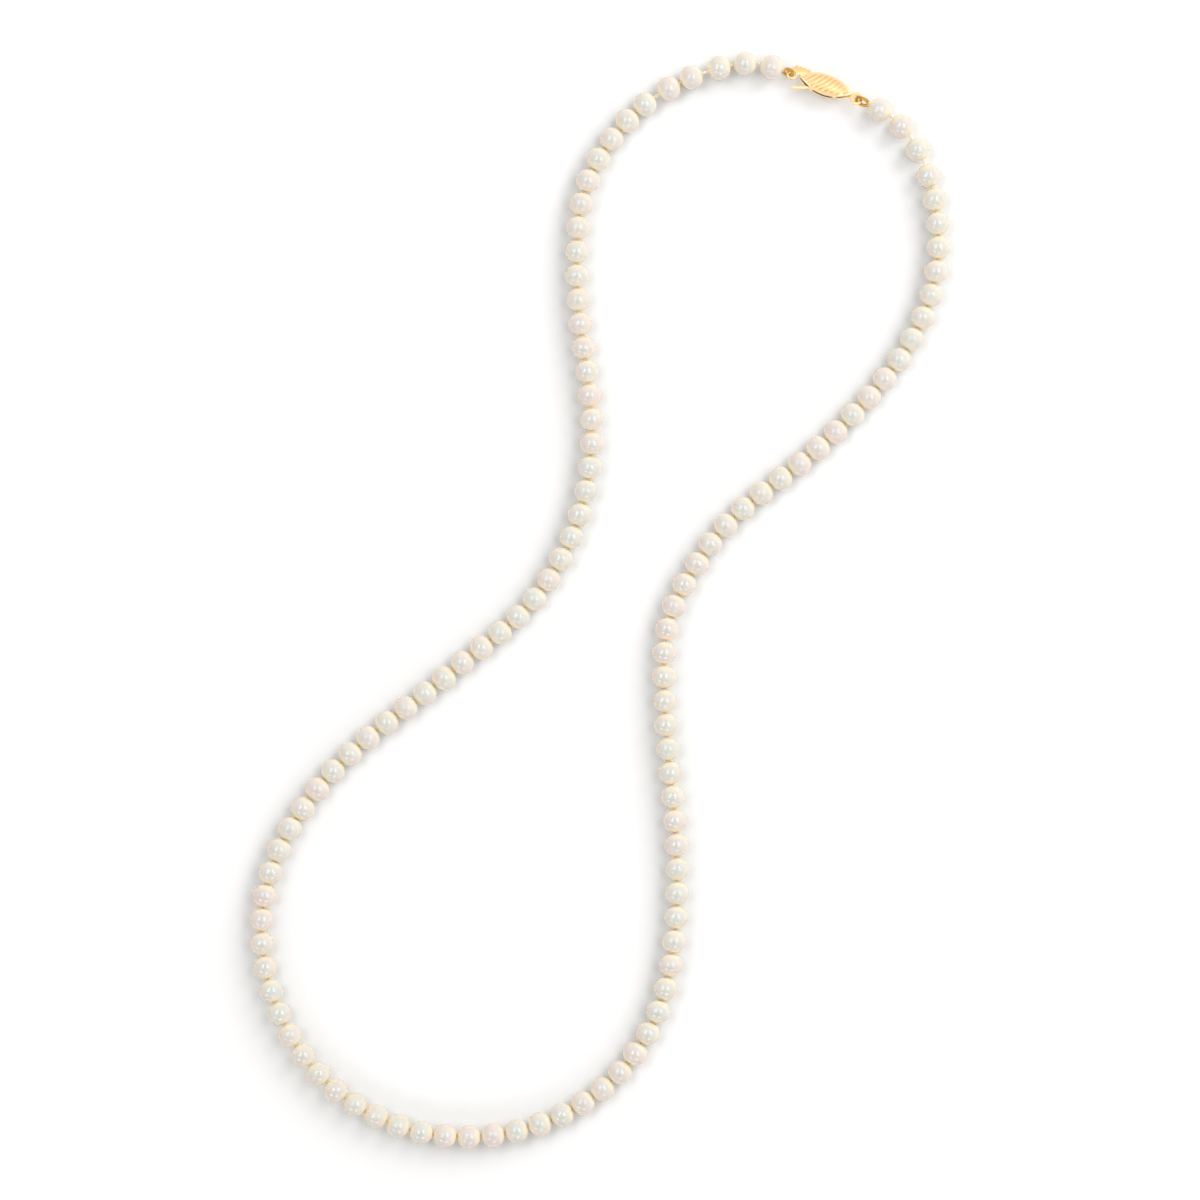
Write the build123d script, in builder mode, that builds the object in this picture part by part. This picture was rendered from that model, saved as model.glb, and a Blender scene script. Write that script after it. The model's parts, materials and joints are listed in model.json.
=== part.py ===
from build123d import *

import math
import os

# A single strand of 112 cream pearls on silk, closed by a marquise fish-hook clasp.
# The strand lies flat on a table in one closed loop with a waist. Sizes are millimetres.
# Origin: centre of the loop's outline, on the table. +X right, +Y towards the clasp, +Z up.

# ---------------------------------------------------------------- driving dimensions
# Pearls: round, but slightly wider than they are long. They are drilled along the short way,
# and a shallow cone round each end of the drill hole stands for the flatter nacre there.
PEARL_WIDTHS = (5.28, 5.20, 5.34, 5.24, 5.40, 5.22, 5.31)
PEARL_LENGTH = 5.0
PEARL_BORE = 0.9
PEARL_CONE_R = 1.7
PEARL_COUNT = 112

# Silk thread and its knots
THREAD_D = 0.6
THREAD_Z = max(PEARL_WIDTHS) / 2
THREAD_END_GAP = 0.08
KNOT_D = 1.2
KNOT_TURN = (25, 35, 15)
STRAIGHT_TURN = 0.4
ARC_SHARE = 0.45

# Bare thread beyond the usual small gap, by the number of the pearl before it
BARE_THREAD = {0: 0.66, 1: 0.47, 2: 1.2, 3: 0.2, 4: 1.0, 107: 0.1, 108: 0.95, 109: 1.0, 110: 0.85}
KNOTTED = (0, 108, 109, 110)

# Sections of the strand, from the clasp's hook round the loop to the clasp's ring:
# name and number of pearls. Each section bends only at its two ends.
SECTIONS = (
    ("left_end", 5),
    ("left_knee", 7),
    ("left_top", 2),
    ("left_upper", 6),
    ("left_middle", 6),
    ("left_waist", 9),
    ("left_lower_4", 3),
    ("left_lower_3", 5),
    ("left_lower_2", 5),
    ("left_lower_1", 4),
    ("bottom_bow", 15),
    ("right_lower_1", 4),
    ("right_lower_2", 5),
    ("right_lower_3", 4),
    ("right_lower_4", 10),
    ("right_waist", 9),
    ("right_middle", 2),
    ("right_upper", 3),
    ("right_top", 8),
)

# The way the strand lies, chosen by hand: from the left pearl's outer drill hole, down the
# left side, round the bottom and up the right side to the right pearl's outer drill hole
ROUTE = (
    (39.5, 114.5),
    (31.5, 116),
    (20, 113),
    (9.5, 107),
    (2.5, 99.5),
    (-2.5, 91),
    (-5, 76.5),
    (-4, 57.5),
    (-1.7, 38.5),
    (-3, 23.5),
    (-8.5, 8.5),
    (-18.5, -4.5),
    (-26.8, -11.2),
    (-35, -18),
    (-51, -30.5),
    (-62, -42),
    (-70, -55.5),
    (-73.2, -70.5),
    (-71.2, -84),
    (-64.5, -98),
    (-53, -109),
    (-39, -115),
    (-24, -115.8),
    (-9, -111.7),
    (3.5, -103),
    (12, -90.5),
    (16.2, -72),
    (16.5, -52),
    (14.5, -30),
    (13.8, -14),
    (15, -3.5),
    (20, 6.3),
    (26.5, 15.5),
    (42, 28.5),
    (57.5, 43),
    (67, 55.5),
    (72.6, 70),
    (72.4, 86),
    (69, 97),
    (65.5, 102.3),
    (58.2, 107),
)

# Clasp placing: centre of the case, heading of its long axis, and roll about that axis
CLASP_X = 48.8
CLASP_Y = 111.1
CLASP_Z = 2.3
CLASP_HEADING = -19.4
CLASP_ROLL = 13

# Clasp case: two domed marquise shells
CASE_LENGTH = 12.2
CASE_WIDTH = 4.8
CASE_TIP_R = 0.8
CASE_WALL = 0.3
CASE_SEAM = 0.1
TOP_HEIGHT = 1.45
TOP_SIDE_DROP = 0.9
TOP_END_DROP = 0.95
BACK_DEPTH = 0.95
BACK_SIDE_DROP = 0.4
BACK_END_DROP = 0.4
MOUTH_END = -2.4
MOUTH_HEIGHT = 0.7

# Hook: one flat spring plate, bent back on itself round the catch post
PLATE_T = 0.45
ARM_W = 0.5
ARM_OFFSET = 1.05
BEND_X = 2.5
EYE_X = -7.7
EYE_R = 1.2
EYE_HOLE_R = 0.76
GRIP_TOP = 2.25
POST_X = -2.6
POST_R = 0.35
POST_SEAT = 0.05
TAB_ROOT_GAP = 0.08
TAB_KNEE_X = -1.6
TAB_ANGLE = 19
TAB_TIP_X = -6.8
TAB_LEAF_W = 0.75

# Ring at the far end of the case
RING_X = 7.15
RING_Y = -0.5
RING_R = 1.38
RING_HOLE_R = 0.75
RING_TONGUE_W = 0.6
RING_TONGUE_X = 4.9
RING_NOTCH_GAP = 0.03

# Gimps: fine wire coils that carry the thread through the ring and the hook's eye
GIMP_D = 0.76
GIMP_BORE = 0.5
GIMP_THREAD_D = 0.4
GIMP_HALF_SPREAD = 1.0
GIMP_MOUTH_SPREAD = 0.44
GIMP_START = 0.32
GIMP_FLARE = 0.95
GIMP_BEND_R = 0.96
GIMP_FLARE_R = 0.6
GIMP_TILT = 33


# ---------------------------------------------------------------- where the pearls lie
with BuildLine() as route_line:
    Spline(*ROUTE)
ROUTE_EDGE = route_line.edge()


def bare(number):
    """Length of thread seen after a pearl, beyond the usual small gap."""
    return BARE_THREAD.get(number, 0)


USUAL_GAP = (ROUTE_EDGE.length - PEARL_COUNT * PEARL_LENGTH - sum(BARE_THREAD.values())) / (PEARL_COUNT - 1)


def route_point(distance):
    """Point on the route at a distance along it, at the thread's height."""
    spot = ROUTE_EDGE.position_at(min(distance, ROUTE_EDGE.length), PositionMode.LENGTH)
    return Vector(spot.X, spot.Y, THREAD_Z)


def lay_out():
    """Knuckles, which are the bending points between pearls, and each pearl's centre and axis."""
    starts = [0]
    for number in range(PEARL_COUNT - 1):
        starts.append(starts[-1] + PEARL_LENGTH + USUAL_GAP + bare(number))
    marks = [0]
    for number in range(PEARL_COUNT - 1):
        marks.append(starts[number] + PEARL_LENGTH + (USUAL_GAP + bare(number)) / 2)
    marks.append(starts[-1] + PEARL_LENGTH)
    knuckles = [route_point(mark) for mark in marks]
    pearls = []
    for number in range(PEARL_COUNT):
        along = knuckles[number + 1] - knuckles[number]
        share = (starts[number] + PEARL_LENGTH / 2 - marks[number]) / (marks[number + 1] - marks[number])
        pearls.append((knuckles[number] + along * share, along.normalized()))
    return knuckles, pearls


def pearl_width(number):
    """Width across the thread; the seven sizes of the string repeat."""
    return PEARL_WIDTHS[number % len(PEARL_WIDTHS)]


def centring_shift(pearls):
    """Move that brings the middle of the loop's outline to the origin."""
    shift = []
    for side in (0, 1):
        low = min((c.X, c.Y)[side] - pearl_width(n) / 2 for n, (c, _) in enumerate(pearls))
        high = max((c.X, c.Y)[side] + pearl_width(n) / 2 for n, (c, _) in enumerate(pearls))
        shift.append(-(low + high) / 2)
    return Vector(shift[0], shift[1], 0)


RAW_KNUCKLES, RAW_PEARLS = lay_out()
SHIFT = centring_shift(RAW_PEARLS)
KNUCKLES = [point + SHIFT for point in RAW_KNUCKLES]
PEARLS = [(centre + SHIFT, axis) for centre, axis in RAW_PEARLS]


# ---------------------------------------------------------------- clasp frame
HEADING = math.radians(CLASP_HEADING)
ROLL = math.radians(CLASP_ROLL)
CLASP_ALONG = Vector(math.cos(HEADING), math.sin(HEADING), 0)
CLASP_ACROSS = Vector(-math.sin(HEADING), math.cos(HEADING), 0)
CLASP_UP = CLASP_ACROSS * math.sin(ROLL) + Vector(0, 0, math.cos(ROLL))
CLASP = Plane(origin=Vector(CLASP_X, CLASP_Y, CLASP_Z) + SHIFT, x_dir=CLASP_ALONG, z_dir=CLASP_UP)
EYE_CENTRE = CLASP.from_local_coords(Vector(EYE_X, 0, 0))
RING_CENTRE = CLASP.from_local_coords(Vector(RING_X, RING_Y, 0))
TAB_PIVOT = CLASP.from_local_coords(Vector(BEND_X - TAB_ROOT_GAP / 2, -ARM_OFFSET, 0))


def save(name, part):
    """Label a finished piece and write it under its node's name."""
    part.label = name
    export_step(part, f"parts/{name}.step")


# ---------------------------------------------------------------- strand
def pearl_section(name, first, last):
    """Drilled pearls of one section, each its own solid."""
    with BuildPart() as pearls:
        for number in range(first, last + 1):
            centre, along = PEARLS[number]
            upright = Vector(0, 0, 1)
            radius = pearl_width(number) / 2
            cone_z = math.sqrt(radius**2 - PEARL_CONE_R**2)
            with BuildSketch(Plane(origin=centre, x_dir=upright, z_dir=upright.cross(along))):
                with BuildLine():
                    Polyline(
                        (PEARL_CONE_R, cone_z),
                        (PEARL_BORE / 2, PEARL_LENGTH / 2),
                        (PEARL_BORE / 2, -PEARL_LENGTH / 2),
                        (PEARL_CONE_R, -cone_z),
                    )
                    ThreePointArc((PEARL_CONE_R, -cone_z), (radius, 0), (PEARL_CONE_R, cone_z))
                make_face()
            revolve(axis=Axis(centre, along))
    save(f"pearls_{name}", pearls.part)


def thread_points(first, last):
    """Corner points of the thread through pearls first to last, leaving out corners that are straight."""
    points = KNUCKLES[first : last + 2]
    start = points[0] + (points[1] - points[0]).normalized() * THREAD_END_GAP
    end = points[-1] + (points[-2] - points[-1]).normalized() * THREAD_END_GAP
    kept = [start]
    for here, after in zip(points[1:-1], points[2:]):
        if (here - kept[-1]).get_angle(after - here) > STRAIGHT_TURN:
            kept.append(here)
    return [*kept, end]


def corner_radii(points):
    """Radius at each corner, as large as its two runs allow."""
    radii = []
    for before, here, after in zip(points, points[1:], points[2:]):
        turn = math.radians((here - before).get_angle(after - here))
        run = min((here - before).length, (after - here).length)
        radii.append(ARC_SHARE * run / math.tan(turn / 2))
    return radii


def thread_section(name, first, last):
    """Silk through one section, with the knots that stand between its pearls."""
    points = thread_points(first, last)
    radii = corner_radii(points)
    with BuildPart() as thread:
        with BuildLine() as path:
            if radii:
                FilletPolyline(*points, radius=radii)
            else:
                Line(*points)
        with BuildSketch(Plane(origin=path.line @ 0, z_dir=path.line % 0)):
            Circle(THREAD_D / 2)
        sweep()
        for number in range(first, last):
            if number in KNOTTED:
                with Locations(KNUCKLES[number + 1]):
                    Sphere(KNOT_D / 2, rotation=KNOT_TURN)
    smallest = f"{min(radii):.0f}" if radii else "straight"
    ideal = math.pi * (THREAD_D / 2) ** 2 * path.wire().length
    print(f"thread_{name}: smallest radius {smallest}, volume {thread.part.volume:.3f}, section x length {ideal:.3f}")
    save(f"thread_{name}", thread.part)


# ---------------------------------------------------------------- clasp case
def cap_radius(half_span, drop):
    """Radius of an arc that falls by drop over half_span."""
    return (half_span**2 + drop**2) / (2 * drop)


def case_outline(inset):
    """Marquise outline with rounded tips, drawn inset from the outer one."""
    outer = cap_radius(CASE_LENGTH / 2, CASE_WIDTH / 2)
    with Locations((0, CASE_WIDTH / 2 - outer)):
        Circle(outer - inset)
    with Locations((0, outer - CASE_WIDTH / 2)):
        Circle(outer - inset, mode=Mode.INTERSECT)


def dome(inset, height, side_drop, end_drop):
    """Marquise block with a doubly curved top, made on Plane.XY with its flat side down."""
    across_r = cap_radius(CASE_WIDTH / 2, side_drop)
    along_r = cap_radius(CASE_LENGTH / 2, end_drop)
    with BuildPart() as block:
        with BuildSketch(Plane.XY.offset(CASE_SEAM / 2)):
            case_outline(inset)
        extrude(amount=2 * height)
        fillet(block.edges().filter_by(Axis.Z), CASE_TIP_R - inset)
        with BuildSketch(Plane.YZ):
            with Locations((0, height - across_r)):
                Circle(across_r - inset)
        turn_centre = (0, 0, height - along_r)
        revolve(axis=Axis(turn_centre, (0, 1, 0)), revolution_arc=360, mode=Mode.INTERSECT)
    return block.part


def shell(name, height, side_drop, end_drop, flip):
    """One hollow half of the case, with the mouth slot and the notch for the ring's tongue."""
    outer = dome(0, height, side_drop, end_drop)
    inner = dome(CASE_WALL, height, side_drop, end_drop)
    with BuildPart() as half:
        add(outer)
        add(inner, mode=Mode.SUBTRACT)
        with BuildSketch(Plane.XY):
            with Locations((MOUTH_END, 0)):
                Rectangle(CASE_LENGTH, 2 * CASE_WIDTH, align=(Align.MAX, Align.CENTER))
        extrude(amount=MOUTH_HEIGHT / 2, mode=Mode.SUBTRACT)
        with BuildSketch(Plane.XY):
            with Locations((RING_TONGUE_X, RING_Y)):
                notch = RING_TONGUE_W + 2 * RING_NOTCH_GAP
                Rectangle(CASE_LENGTH, notch, align=(Align.MIN, Align.CENTER))
        extrude(amount=PLATE_T / 2 + RING_NOTCH_GAP, mode=Mode.SUBTRACT)
    turned = mirror(half.part, about=Plane.XY) if flip else half.part
    save(name, CLASP.location * turned)


def catch_post():
    """Pin that joins the two shells inside the mouth and holds the hook if the spring lets go."""
    top_in = TOP_HEIGHT - CASE_WALL - POST_X**2 / (2 * cap_radius(CASE_LENGTH / 2, TOP_END_DROP))
    back_in = BACK_DEPTH - CASE_WALL - POST_X**2 / (2 * cap_radius(CASE_LENGTH / 2, BACK_END_DROP))
    with BuildPart() as post:
        with BuildSketch(CLASP.offset(-back_in - POST_SEAT)):
            with Locations((POST_X, 0)):
                Circle(POST_R)
        extrude(amount=top_in + back_in + 2 * POST_SEAT)
    save("catch_post", post.part)


def case_ring():
    """Flat ring with a tongue that is soldered between the shells."""
    with BuildPart() as ring:
        with BuildSketch(CLASP):
            with Locations((RING_X, RING_Y)):
                Circle(RING_R)
            with Locations((RING_TONGUE_X, RING_Y)):
                Rectangle(RING_X - RING_TONGUE_X, RING_TONGUE_W, align=(Align.MIN, Align.CENTER))
            with Locations((RING_X, RING_Y)):
                Circle(RING_HOLE_R, mode=Mode.SUBTRACT)
        extrude(amount=PLATE_T / 2, both=True)
        fillet(ring.edges().filter_by(GeomType.CIRCLE), PLATE_T / 5)
    save("case_ring", ring.part)


# ---------------------------------------------------------------- hook
GRIP_OUTLINE = (
    (-8.35, 0.85),
    (-7.35, GRIP_TOP),
    (-6.75, 2.0),
    (-6.35, GRIP_TOP),
    (-5.85, 2.0),
    (-5.45, GRIP_TOP),
    (-4.95, 2.0),
    (-4.4, GRIP_TOP),
    (-3.4, ARM_OFFSET + ARM_W / 2),
    (-3.0, ARM_OFFSET - ARM_W / 2),
    (-4.4, 0.75),
    (-5.8, 0.35),
    (-6.75, 0.3),
    (-7.2, 0.6),
)


def hook_plate():
    """Eye, scalloped finger grip, upper arm and the bend round the catch post, from one flat plate."""
    with BuildPart() as hook:
        with BuildSketch(CLASP):
            with Locations((EYE_X, 0)):
                Circle(EYE_R)
            with BuildLine():
                Polyline(*GRIP_OUTLINE, close=True)
            make_face()
            with Locations((EYE_X, 0)):
                Circle(EYE_HOLE_R, mode=Mode.SUBTRACT)
            with Locations((-3.6, ARM_OFFSET)):
                Rectangle(BEND_X + 3.6, ARM_W, align=(Align.MIN, Align.CENTER))
        extrude(amount=PLATE_T / 2, both=True)
        with BuildSketch(CLASP):
            with Locations((BEND_X, 0)):
                Circle(ARM_OFFSET + ARM_W / 2)
                Circle(ARM_OFFSET - ARM_W / 2, mode=Mode.SUBTRACT)
                Rectangle(4 * ARM_OFFSET, 4 * ARM_OFFSET, align=(Align.MAX, Align.CENTER), mode=Mode.SUBTRACT)
        extrude(amount=PLATE_T / 2, both=True)
    save("hook_plate", hook.part)


def release_tab():
    """Lower spring arm that comes back out of the mouth and ends in a small leaf to press."""
    slope = math.tan(math.radians(TAB_ANGLE))
    lean = math.cos(math.radians(TAB_ANGLE))

    def middle(x):
        return -ARM_OFFSET - (TAB_KNEE_X - x) * slope

    half_arm = ARM_W / 2 / lean
    half_leaf = TAB_LEAF_W / 2 / lean
    outline = (
        (BEND_X - TAB_ROOT_GAP, -ARM_OFFSET + ARM_W / 2),
        (TAB_KNEE_X, -ARM_OFFSET + ARM_W / 2),
        (-3.3, middle(-3.3) + half_arm),
        (-4.6, middle(-4.6) + half_leaf),
        (-5.9, middle(-5.9) + half_leaf),
        (TAB_TIP_X, middle(TAB_TIP_X)),
        (-6.5, middle(-6.5) - half_leaf),
        (-6.0, middle(-6.0) - half_leaf * 0.7),
        (-5.6, middle(-5.6) - half_leaf),
        (-5.1, middle(-5.1) - half_leaf * 0.7),
        (-4.7, middle(-4.7) - half_leaf),
        (-4.2, middle(-4.2) - half_leaf * 0.7),
        (-3.3, middle(-3.3) - half_arm),
        (TAB_KNEE_X, -ARM_OFFSET - ARM_W / 2),
        (BEND_X - TAB_ROOT_GAP, -ARM_OFFSET - ARM_W / 2),
    )
    with BuildPart() as tab:
        with BuildSketch(CLASP):
            with BuildLine():
                Polyline(*outline, close=True)
            make_face()
        extrude(amount=PLATE_T / 2, both=True)
    save("release_tab", tab.part)


# ---------------------------------------------------------------- gimps and the thread in them
def gimp_plane(mouth, eye):
    """Plane of one gimp's loop: x from the pearl to the eye, y towards the loop's upper leg."""
    along = (eye - mouth).normalized()
    tilt = math.radians(GIMP_TILT)
    lean = Vector(0, 0, math.cos(tilt)) + CLASP_ACROSS * math.sin(tilt)
    return Plane(origin=mouth, x_dir=along, z_dir=along.cross(lean))


def gimp_corners(reach):
    """Hairpin from the pearl's drill hole, round the band at reach, and back."""
    far = reach + GIMP_HALF_SPREAD
    upper = (
        (GIMP_START, GIMP_MOUTH_SPREAD),
        (GIMP_FLARE, GIMP_HALF_SPREAD),
        (far, GIMP_HALF_SPREAD),
    )
    lower = [(x, -y) for x, y in reversed(upper)]
    return [*upper, *lower]


def gimp(side, mouth, eye, band_radius):
    """Hollow wire coil, drawn as a tube, and the doubled thread inside it."""
    plane = gimp_plane(mouth, eye)
    reach = (eye - mouth).length - band_radius
    corners = gimp_corners(reach)
    for name, outer, bore in (
        (f"gimp_{side}", GIMP_D, GIMP_BORE),
        (f"thread_loop_{side}", GIMP_THREAD_D, 0),
    ):
        with BuildPart() as tube:
            with BuildLine(plane) as path:
                FilletPolyline(*corners, radius=[GIMP_FLARE_R, GIMP_BEND_R, GIMP_BEND_R, GIMP_FLARE_R])
            with BuildSketch(Plane(origin=path.line @ 0, z_dir=path.line % 0)):
                Circle(outer / 2)
                if bore:
                    Circle(bore / 2, mode=Mode.SUBTRACT)
            sweep()
        save(name, tube.part)


# ---------------------------------------------------------------- build everything
def build():
    os.makedirs("parts", exist_ok=True)
    first = 0
    for name, count in SECTIONS:
        pearl_section(name, first, first + count - 1)
        thread_section(name, first, first + count - 1)
        first += count
    shell("case_top", TOP_HEIGHT, TOP_SIDE_DROP, TOP_END_DROP, False)
    shell("case_back", BACK_DEPTH, BACK_SIDE_DROP, BACK_END_DROP, True)
    catch_post()
    case_ring()
    hook_plate()
    release_tab()
    gimp("left", KNUCKLES[0], EYE_CENTRE, (EYE_R + EYE_HOLE_R) / 2)
    gimp("right", KNUCKLES[-1], RING_CENTRE, (RING_R + RING_HOLE_R) / 2)
    print(f"route {ROUTE_EDGE.length:.2f} mm, usual gap {USUAL_GAP:.3f} mm, shift {SHIFT}")


build()
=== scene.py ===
import json
import math
import random

import bmesh
import bpy
import numpy as np
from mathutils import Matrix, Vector

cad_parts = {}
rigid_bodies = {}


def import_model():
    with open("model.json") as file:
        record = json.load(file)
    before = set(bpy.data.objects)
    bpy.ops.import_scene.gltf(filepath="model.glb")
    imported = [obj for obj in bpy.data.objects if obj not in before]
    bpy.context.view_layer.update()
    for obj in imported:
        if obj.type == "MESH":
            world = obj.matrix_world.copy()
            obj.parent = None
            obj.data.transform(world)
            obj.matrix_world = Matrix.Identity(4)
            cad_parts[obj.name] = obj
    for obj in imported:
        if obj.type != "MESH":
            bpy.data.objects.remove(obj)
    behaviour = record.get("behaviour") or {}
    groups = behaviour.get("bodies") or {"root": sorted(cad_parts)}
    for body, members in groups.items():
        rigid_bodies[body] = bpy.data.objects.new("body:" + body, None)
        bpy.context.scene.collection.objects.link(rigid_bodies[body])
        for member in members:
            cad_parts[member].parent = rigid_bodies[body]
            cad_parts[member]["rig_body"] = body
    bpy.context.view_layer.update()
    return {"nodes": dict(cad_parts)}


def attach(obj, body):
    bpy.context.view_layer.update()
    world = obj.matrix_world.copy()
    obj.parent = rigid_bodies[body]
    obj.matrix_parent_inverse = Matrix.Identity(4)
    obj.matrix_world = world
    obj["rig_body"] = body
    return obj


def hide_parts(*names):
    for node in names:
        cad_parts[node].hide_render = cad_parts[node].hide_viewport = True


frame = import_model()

# Looks of a single strand of cream pearls with a marquise fish-hook clasp.
# Metres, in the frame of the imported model: +X right, +Y towards the clasp, +Z up from the table.

MM = 0.001
NODES = frame["nodes"]

# The strand's sections in order, from the clasp's hook round the loop to the clasp's ring
SECTIONS = (
    "left_end", "left_knee", "left_top", "left_upper", "left_middle", "left_waist",
    "left_lower_4", "left_lower_3", "left_lower_2", "left_lower_1", "bottom_bow",
    "right_lower_1", "right_lower_2", "right_lower_3", "right_lower_4",
    "right_waist", "right_middle", "right_upper", "right_top",
)

# Pearls. Only the rims of a CAD pearl's drill hole are nearer to its centre than DRILL_RIM_REACH.
PEARL_SEED = 112
DRILL_RIM_REACH = 2.58 * MM
PEARL_HALF_LENGTH = 2.53 * MM
DRILL_HALF_LENGTH = 2.5 * MM
PEARL_AROUND = 56
PEARL_PROFILE = 34
HOLE_R = 0.42 * MM
HOLE_LIP = 0.09 * MM
HOLE_DEPTH = 0.5 * MM
LIP_STEP = 0.3 * HOLE_LIP
PEARL_WOBBLE = 0.008
WOBBLE_ORDERS = (2, 3, 4)
WOBBLE_SCALE = 2.4
# Painted glow at the drill holes, standing in for light that bounces between touching pearls: it starts at
# this share of the half length and rises with this power.
GLOW_PAINT_FROM = 0.4
GLOW_PAINT_POWER = 1.5

# Silk
SILK_R = 0.3 * MM
SILK_STEP = 0.22 * MM
SILK_AROUND = 16
SILK_PITCH = 1.5 * MM
SILK_LOBE = 0.16
CAP_ROWS = 3
LOOP_SILK_R = 0.19 * MM
KNOT_GAPS = (0, 108, 109, 110)
KNOT_R = 0.34 * MM
KNOT_TUBE_R = 0.17 * MM
KNOT_LENGTH_SHARE = 0.55
KNOT_STEPS = 72
KNOT_AROUND = 12
KNOT_PITCH = 0.6 * MM
KNOT_TURN = 0.4

# Clasp, in its own frame: x along the case, y across it, z out of its top
CLASP_HEADING = math.radians(-19.4)
CLASP_ROLL = math.radians(13)
POST_X = -2.6 * MM
EYE_X = -7.7 * MM
EYE_BAND_R = 0.98 * MM
RING_X = 7.15 * MM
RING_Y = -0.5 * MM
RING_BAND_R = 1.065 * MM
CASE_LENGTH = 12.2 * MM
CASE_WIDTH = 4.8 * MM
CASE_WALL = 0.3 * MM
CASE_TIP_CUT = 0.3 * MM
CASE_COLUMNS = 221
CASE_ROWS = 81
CASE_SEAM = 0.34 * MM
CLOSED_SEAM = 0.02 * MM
SEAM_JOINTS = (-2.8 * MM, 2.6 * MM)
SEAM_JOINT_WIDTH = 0.45 * MM
MOUTH_END = -3.3 * MM
MOUTH_HEIGHT = 0.85 * MM
MOUTH_STEP = 0.06 * MM
SLIT_INSET = 0.17 * MM
SLIT_FULL_WIDTH = 1.2 * MM
RIM_WALL = 0.12 * MM
RIM_ROLL_DROP = 0.1 * MM
RIM_ROLL_WIDTH = 0.16 * MM
EDGE_SLANT = 0.93
INNER_LENGTH_SHARE = 0.97
INNER_LEAST_SHARE = 0.3
TOP_HEIGHT = 1.45 * MM
TOP_SIDE_DROP = 0.9 * MM
TOP_END_DROP = 0.95 * MM
BACK_DEPTH = 0.95 * MM
BACK_SIDE_DROP = 0.4 * MM
BACK_END_DROP = 0.4 * MM

# Flutes and engraved drops on the case's top
FLUTE_SPACING = 0.88 * MM
FLUTE_ANGLE = math.radians(52)
FLUTE_DEPTH = 0.065 * MM
FLUTE_SHARPNESS = 6
FLUTE_BOW = 0.018 / MM
FLUTE_FADE = 0.35 * MM
RIM_WIDTH = 0.3 * MM
DROP_DEPTH = 0.12 * MM
DROP_INSET = 0.46 * MM
DROP_REACH = 0.14 * MM

# Gimps: fine wire wound round the loops of thread
GIMP_R = 0.385 * MM
GIMP_WIRE_R = 0.09 * MM
GIMP_PITCH = 0.172 * MM
GIMP_HALF_SPREAD = 1.0 * MM
GIMP_MOUTH_SPREAD = 0.44 * MM
GIMP_START = 0.32 * MM
GIMP_FLARE = 0.95 * MM
GIMP_BEND_R = 0.96 * MM
GIMP_FLARE_R = 0.6 * MM
GIMP_TILT = math.radians(33)
GIMP_TURN_STEPS = 14
GIMP_WIRE_AROUND = 7
GIMP_STEP = 0.05 * MM
LOOP_START = -0.2 * MM
LOOP_MOUTH_SPREAD = 0.1 * MM
LOOP_STEP = 0.1 * MM
LOOP_AROUND = 12


# ---------------------------------------------------------------- materials
class Shader:
    """Node graph of one material, with short calls for the nodes used here."""

    def __init__(self, name):
        self.material = bpy.data.materials.new(name)
        self.material.use_nodes = True
        self.nodes = self.material.node_tree.nodes
        self.links = self.material.node_tree.links
        self.nodes.clear()
        self.surface = self.nodes.new("ShaderNodeBsdfPrincipled")
        output = self.nodes.new("ShaderNodeOutputMaterial")
        self.links.new(self.surface.outputs[0], output.inputs["Surface"])
        self.place = self.nodes.new("ShaderNodeTexCoord").outputs["Object"]

    def constant(self, **values):
        """Sets sockets of the surface that are the same all over."""
        for name, value in values.items():
            self.surface.inputs[name.replace("_", " ")].default_value = value

    def noise(self, scale, detail=3.0, roughness=0.5, distortion=0.0):
        """Cloudy factor 0 to 1. A larger scale gives a finer grain."""
        node = self.nodes.new("ShaderNodeTexNoise")
        node.inputs["Scale"].default_value = scale
        node.inputs["Detail"].default_value = detail
        node.inputs["Roughness"].default_value = roughness
        node.inputs["Distortion"].default_value = distortion
        self.links.new(self.place, node.inputs["Vector"])
        return node.outputs["Fac"]

    def attribute(self, name):
        """Value stored on the mesh's points by piece()."""
        node = self.nodes.new("ShaderNodeAttribute")
        node.attribute_name = name
        return node.outputs["Fac"]

    def ramp(self, factor, *stops):
        """Colours over a factor; each stop is (position, (r, g, b))."""
        node = self.nodes.new("ShaderNodeValToRGB")
        elements = node.color_ramp.elements
        while len(elements) < len(stops):
            elements.new(0.5)
        for element, (position, colour) in zip(elements, stops):
            element.position = position
            element.color = (*colour, 1)
        self.links.new(factor, node.inputs["Fac"])
        return node.outputs["Color"]

    def span(self, factor, low, high, from_low=0.0, from_high=1.0):
        """Factor from_low..from_high moved to low..high."""
        node = self.nodes.new("ShaderNodeMapRange")
        node.inputs["From Min"].default_value = from_low
        node.inputs["From Max"].default_value = from_high
        node.inputs["To Min"].default_value = low
        node.inputs["To Max"].default_value = high
        self.links.new(factor, node.inputs["Value"])
        return node.outputs["Result"]

    def mix(self, factor, first, second, kind="MIX"):
        """First colour at factor 0, second at 1. Each may be a value or the output of a node."""
        node = self.nodes.new("ShaderNodeMix")
        node.data_type = "RGBA"
        node.blend_type = kind
        for socket, value in ((0, factor), (6, first), (7, second)):
            if isinstance(value, bpy.types.NodeSocket):
                self.links.new(value, node.inputs[socket])
            elif isinstance(value, tuple):
                node.inputs[socket].default_value = (*value, 1)
            else:
                node.inputs[socket].default_value = value
        return node.outputs[2]

    def bump(self, height, distance, strength=1.0):
        """Raises the surface by up to distance where height is 1."""
        node = self.nodes.new("ShaderNodeBump")
        node.inputs["Strength"].default_value = strength
        node.inputs["Distance"].default_value = distance
        self.links.new(height, node.inputs["Height"])
        self.links.new(node.outputs["Normal"], self.surface.inputs["Normal"])

    def drive(self, socket, value):
        """Lets a node's output set a socket of the surface."""
        self.links.new(value, self.surface.inputs[socket])


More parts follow.
